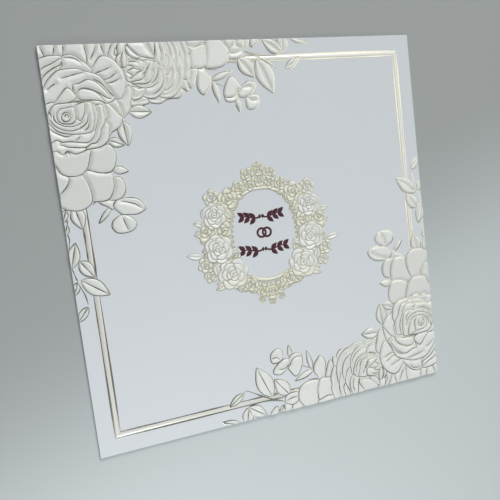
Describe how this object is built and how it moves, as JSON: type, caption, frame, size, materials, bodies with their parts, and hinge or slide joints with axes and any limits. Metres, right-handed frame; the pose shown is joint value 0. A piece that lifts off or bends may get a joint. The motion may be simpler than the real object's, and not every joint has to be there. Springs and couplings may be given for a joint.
{
  "type": "invitation card",
  "caption": "Square invitation card of thick white board, embossed with corner rose sprays, a raised frame and an oval flower wreath, its outlines stamped in gold foil",
  "frame": {"origin": "the middle of the card's flat back", "axes": "+Z out of the embossed face, +Y towards the card's top edge, +X to the right as the face is read"},
  "size_m": [0.2032, 0.2032, 0.0023],
  "materials": {
    "card_board": "matte white board, embossed, with gold foil along the outlines"
  },
  "bodies": {
    "root": {"card": "card_board"}
  },
  "joints": []
}
